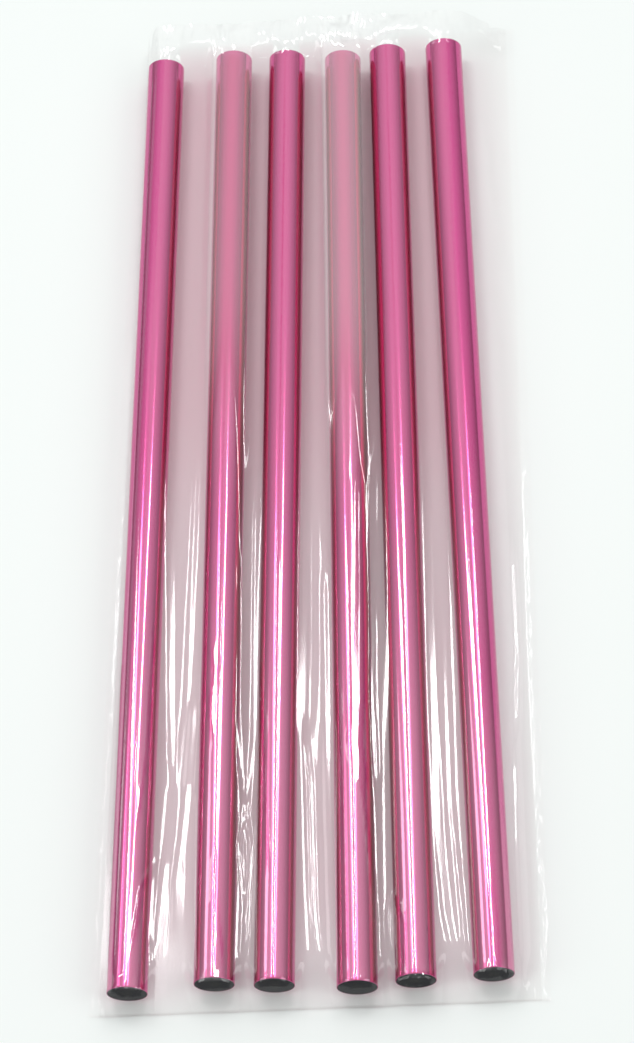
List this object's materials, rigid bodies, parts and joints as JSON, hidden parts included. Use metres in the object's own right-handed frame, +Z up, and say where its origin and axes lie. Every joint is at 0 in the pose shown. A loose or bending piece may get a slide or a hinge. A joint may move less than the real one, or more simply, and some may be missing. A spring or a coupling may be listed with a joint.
{
  "type": "pack of unsharpened round pencils",
  "caption": "Pack of unsharpened round pencils with a metallic skin and black wood, lying side by side in a clear film bag; each slides out of the open mouth.",
  "frame": {"origin": "middle of the pack's underside", "axes": "+Y along the pencils towards the bag's open mouth, +Z up"},
  "size_m": [0.0782, 0.2, 0.0075],
  "materials": {
    "skin": "metallic foil with a clear tinted gloss",
    "wood": "dyed black, cut square",
    "core": "graphite, slightly shiny",
    "film": "clear glossy film"
  },
  "bodies": {
    "bag": {"bag_back_panel": "film", "bag_front_panel": "film", "bag_left_weld": "film", "bag_right_weld": "film", "bag_bottom_fold": "film"},
    "pencil_1": {"pencil_1_skin": "skin", "pencil_1_slat_a": "wood", "pencil_1_slat_b": "wood", "pencil_1_core": "core"},
    "pencil_2": {"pencil_2_skin": "skin", "pencil_2_slat_a": "wood", "pencil_2_slat_b": "wood", "pencil_2_core": "core"},
    "pencil_3": {"pencil_3_skin": "skin", "pencil_3_slat_a": "wood", "pencil_3_slat_b": "wood", "pencil_3_core": "core"},
    "pencil_4": {"pencil_4_skin": "skin", "pencil_4_slat_a": "wood", "pencil_4_slat_b": "wood", "pencil_4_core": "core"},
    "pencil_5": {"pencil_5_skin": "skin", "pencil_5_slat_a": "wood", "pencil_5_slat_b": "wood", "pencil_5_core": "core"},
    "pencil_6": {"pencil_6_skin": "skin", "pencil_6_slat_a": "wood", "pencil_6_slat_b": "wood", "pencil_6_core": "core"}
  },
  "joints": [
    {"name": "pencil_1_slide", "type": "slide", "parent": "bag", "child": "pencil_1", "axis": [0.0189, 0.9998, 0], "range_m": [0, 0.1988]},
    {"name": "pencil_2_slide", "type": "slide", "parent": "bag", "child": "pencil_2", "axis": [0.0111, 0.9999, 0], "range_m": [0, 0.1988]},
    {"name": "pencil_3_slide", "type": "slide", "parent": "bag", "child": "pencil_3", "axis": [0.0121, 0.9999, 0], "range_m": [0, 0.1988]},
    {"name": "pencil_4_slide", "type": "slide", "parent": "bag", "child": "pencil_4", "axis": [-0.0047, 1, 0], "range_m": [0, 0.1988]},
    {"name": "pencil_5_slide", "type": "slide", "parent": "bag", "child": "pencil_5", "axis": [-0.0111, 0.9999, 0], "range_m": [0, 0.1988]},
    {"name": "pencil_6_slide", "type": "slide", "parent": "bag", "child": "pencil_6", "axis": [-0.0226, 0.9997, 0], "range_m": [0, 0.1988]}
  ]
}
